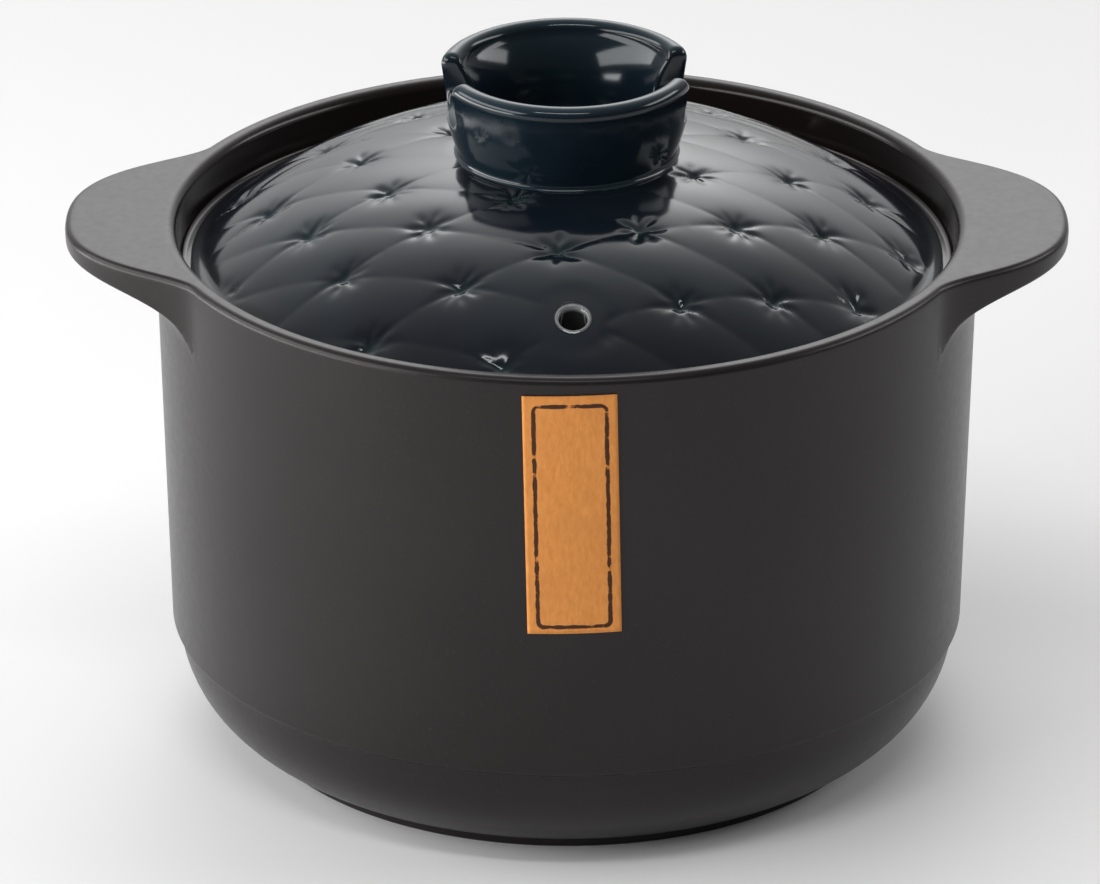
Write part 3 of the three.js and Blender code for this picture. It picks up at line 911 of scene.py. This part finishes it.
def finish_glaze(tree, colour, gloss, shine):
    """Gives a glaze its colour, its gloss and the strength of its shine."""
    shader = tree.nodes["Principled BSDF"]
    tree.links.new(colour, shader.inputs["Base Color"])
    tree.links.new(gloss, shader.inputs["Roughness"])
    shader.inputs["Specular IOR Level"].default_value = shine
    shader.inputs["Specular Tint"].default_value = LID_SHINE


def lid_glaze():
    """Blue-black glaze that breaks to teal on the tufts, with a pale grey painted highlight on the steam
    hole's lip and bare clay in the hole.
    """
    material, tree, colour, gloss = glossy_glaze("lid_glaze", LID_DEEP, LID_THIN)
    on_tuft = ranged(tree, read(tree, "tufted"), 0.2, 1, 0, 0.6)
    colour = blended(tree, on_tuft, colour, LID_TUFT)
    bare = read(tree, "bare_clay")
    colour = blended(tree, bare, colour, HOLE_CLAY)
    # Painted highlight: the top of the steam hole's lip is painted pale grey
    colour = blended(tree, read(tree, "painted_hole_highlight"), colour, HOLE_LIP_PAINTED_HIGHLIGHT)
    finish_glaze(tree, colour, worked(tree, "MAXIMUM", gloss, bare), 0.5)
    return material


def knob_glaze():
    """Teal-black glaze, paler on faces that turn upwards such as the top of the knob's lip: thin glaze
    there, and painted sheen.
    """
    material, tree, colour, gloss = glossy_glaze("knob_glaze", KNOB_DEEP, KNOB_THIN)
    facing = add(tree, "ShaderNodeNewGeometry").outputs["Normal"]
    upward = add(tree, "ShaderNodeSeparateXYZ", {0: facing}).outputs["Z"]
    # Faces that turn upwards are painted paler: partly thin glaze on the lip, partly painted sheen from
    # above
    colour = blended(tree, ranged(tree, upward, 0.3, 1, 0, 0.8), colour, KNOB_LIP_GLAZE_AND_SHEEN)
    finish_glaze(tree, colour, gloss, 0.38)
    return material


def kraft_paper():
    """Matt kraft paper with fibres and one plain inked border line."""
    material, tree, shader, coordinates = begin_material("kraft_paper")
    fibre_place = add(tree, "ShaderNodeMapping", {"Vector": coordinates, "Scale": (1, 1, 0.35)})
    fibres = noise(tree, fibre_place.outputs["Vector"], 900, 4, 0.65)
    cloud = noise(tree, coordinates, 70, 3)
    colour = blended(tree, ranged(tree, fibres, 0.3, 0.7, 0, 1), PAPER_DARK, PAPER_LIGHT)
    colour = blended(tree, ranged(tree, cloud, 0.45, 0.7, 0, 0.5), colour, PAPER_CLOUD)
    ink = border_ink(tree, noise(tree, coordinates, 380, 3))
    colour = blended(tree, ink, colour, INK)
    tree.links.new(colour, shader.inputs["Base Color"])
    tree.links.new(bumped(tree, fibres, 0.0002, 0.35), shader.inputs["Normal"])
    shader.inputs["Roughness"].default_value = 0.82
    shader.inputs["Specular IOR Level"].default_value = 0.25
    return material


def past_border(tree, own, centre, size, half):
    """How far a place is past the straight part of the border, along one side of the label."""
    from_middle = worked(tree, "ABSOLUTE", worked(tree, "SUBTRACT", own, centre), 0)
    return worked(tree, "SUBTRACT", worked(tree, "MULTIPLY", from_middle, size), half)


def border_ink(tree, wear):
    """Where the label's border line is inked: a rounded frame, worn along its length."""
    own = add(tree, "ShaderNodeSeparateXYZ", {0: add(tree, "ShaderNodeTexCoord").outputs["UV"]})
    half_width = LABEL_WIDTH / 2 - BORDER_INSET - BORDER_CORNER
    half_length = (LABEL_LENGTH - BORDER_INSET - BORDER_BOTTOM_INSET) / 2 - BORDER_CORNER
    middle = 0.5 + (BORDER_BOTTOM_INSET - BORDER_INSET) / 2 / LABEL_LENGTH
    outside = [
        past_border(tree, own.outputs[0], 0.5, LABEL_WIDTH, half_width),
        past_border(tree, own.outputs[1], middle, LABEL_LENGTH, half_length),
    ]
    past = [worked(tree, "MAXIMUM", value, 0) for value in outside]
    squares = worked(tree, "ADD", *[worked(tree, "MULTIPLY", value, value) for value in past])
    within = worked(tree, "MINIMUM", worked(tree, "MAXIMUM", *outside), 0)
    distance = worked(tree, "ADD", worked(tree, "SQRT", squares, 0), within)
    off_line = worked(tree, "ABSOLUTE", worked(tree, "SUBTRACT", distance, BORDER_CORNER), 0)
    reach = worked(tree, "ADD", off_line, ranged(tree, wear, 0.3, 0.6, *BORDER_WEAR))
    line = ranged(tree, reach, BORDER_WIDTH / 2, BORDER_WIDTH / 2 + BORDER_BLUR, 1, 0)
    return worked(tree, "MULTIPLY", line, ranged(tree, wear, 0.33, 0.41, 0.2, 0.97))


def floor_material():
    """Plain pale floor."""
    material, tree, shader, coordinates = begin_material("pale_floor")
    tone = ranged(tree, noise(tree, coordinates, 3), 0.3, 0.7, 0, 1)
    colour = blended(tree, tone, FLOOR_DARK, FLOOR_LIGHT)
    tree.links.new(colour, shader.inputs["Base Color"])
    shader.inputs["Roughness"].default_value = 0.9
    shader.inputs["Specular IOR Level"].default_value = 0.1
    return material


def make_floor():
    """The floor that the pot stands on."""
    bpy.ops.object.select_all(action="DESELECT")
    bpy.ops.mesh.primitive_plane_add(size=FLOOR_SIZE)
    floor = bpy.context.object
    floor.name = "floor"
    floor.data.materials.append(floor_material())


def make_softbox(name, place_at, size, radiance):
    """A rectangular studio light of an even brightness, facing the pot."""
    light = bpy.data.lights.new(name, "AREA")
    light.shape = "RECTANGLE"
    light.size, light.size_y = size
    light.energy = radiance * math.pi * size[0] * size[1]
    box = bpy.data.objects.new(name, light)
    bpy.context.scene.collection.objects.link(box)
    box.location = place_at
    box.rotation_euler = (Vector(LIGHT_AIM) - Vector(place_at)).to_track_quat("-Z", "Y").to_euler()


def make_lights():
    """High and low panels on the left, a high panel on the right, and a narrow light high in front."""
    make_softbox("left_panel", place_at=(-1.45, -0.35, 0.9), size=(2.3, 0.55), radiance=5.2)
    make_softbox("left_low_panel", place_at=(-1.3, -0.2, 0.16), size=(1.8, 0.3), radiance=9.5)
    make_softbox("right_panel", place_at=(1.55, 0.2, 0.9), size=(1.2, 0.42), radiance=4.8)
    make_softbox("front_top_light", place_at=(-0.1, -0.8, 1.6), size=(1.0, 0.14), radiance=11.0)


def make_world():
    """Studio air that glows behind and above the pot, more to the left, and is dim in front."""
    world = bpy.data.worlds.new("studio")
    world.use_nodes = True
    tree = world.node_tree
    background = tree.nodes["Background"]
    direction = add(tree, "ShaderNodeTexCoord").outputs["Generated"]
    level_part = math.cos(GLOW_RISE)
    glow = (level_part * math.sin(GLOW_TURN), level_part * math.cos(GLOW_TURN), math.sin(GLOW_RISE))
    towards = add(tree, "ShaderNodeVectorMath", {0: direction, 1: glow}, operation="DOT_PRODUCT")
    away = worked(tree, "SUBTRACT", towards.outputs["Value"], 1)
    core = worked(tree, "EXPONENT", worked(tree, "MULTIPLY", away, GLOW_CORE_NARROWNESS), 0)
    wide = worked(tree, "EXPONENT", worked(tree, "MULTIPLY", away, GLOW_NARROWNESS), 0)
    sideways = add(tree, "ShaderNodeSeparateXYZ", {0: direction}).outputs["X"]
    wide = worked(tree, "MULTIPLY", wide, ranged(tree, sideways, -1, 1, GLOW_LEFT, GLOW_RIGHT))
    level = worked(tree, "ADD", worked(tree, "MULTIPLY", core, GLOW_CORE), wide)
    tree.links.new(worked(tree, "ADD", level, AIR_LIGHT), background.inputs["Strength"])
    background.inputs["Color"].default_value = (1, 1, 1, 1)
    bpy.context.scene.world = world


def make_camera():
    """The camera at the photograph's angle, a long way off with a long lens."""
    lens = bpy.data.cameras.new("camera")
    lens.sensor_width = CAMERA_SENSOR
    lens.lens = CAMERA_LENS
    lens.clip_end = 100
    camera = bpy.data.objects.new("camera", lens)
    bpy.context.scene.collection.objects.link(camera)
    camera.location = CAMERA_PLACE
    camera.rotation_euler = (Vector(CAMERA_AIM) - camera.location).to_track_quat("-Z", "Y").to_euler()
    bpy.context.scene.camera = camera


def dress(piece, body, slot, material, *nodes):
    """Gives a piece its finish and its place in the frame."""
    piece.data.materials.clear()
    piece.data.materials.append(material)
    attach(piece, body)
    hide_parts(*nodes)


dress(make_vessel(), "pot", "body_glaze", body_glaze(), "pot_body", "handle_left", "handle_right")
dress(make_label(), "pot", "label_paper", kraft_paper(), "label")
dress(make_lid(), "lid", "lid_glaze", lid_glaze(), "lid_shell")
dress(make_knob(), "lid", "lid_glaze", knob_glaze(), "lid_knob")
make_floor()
make_lights()
make_world()
make_camera()
bpy.context.scene.view_settings.view_transform = "Standard"
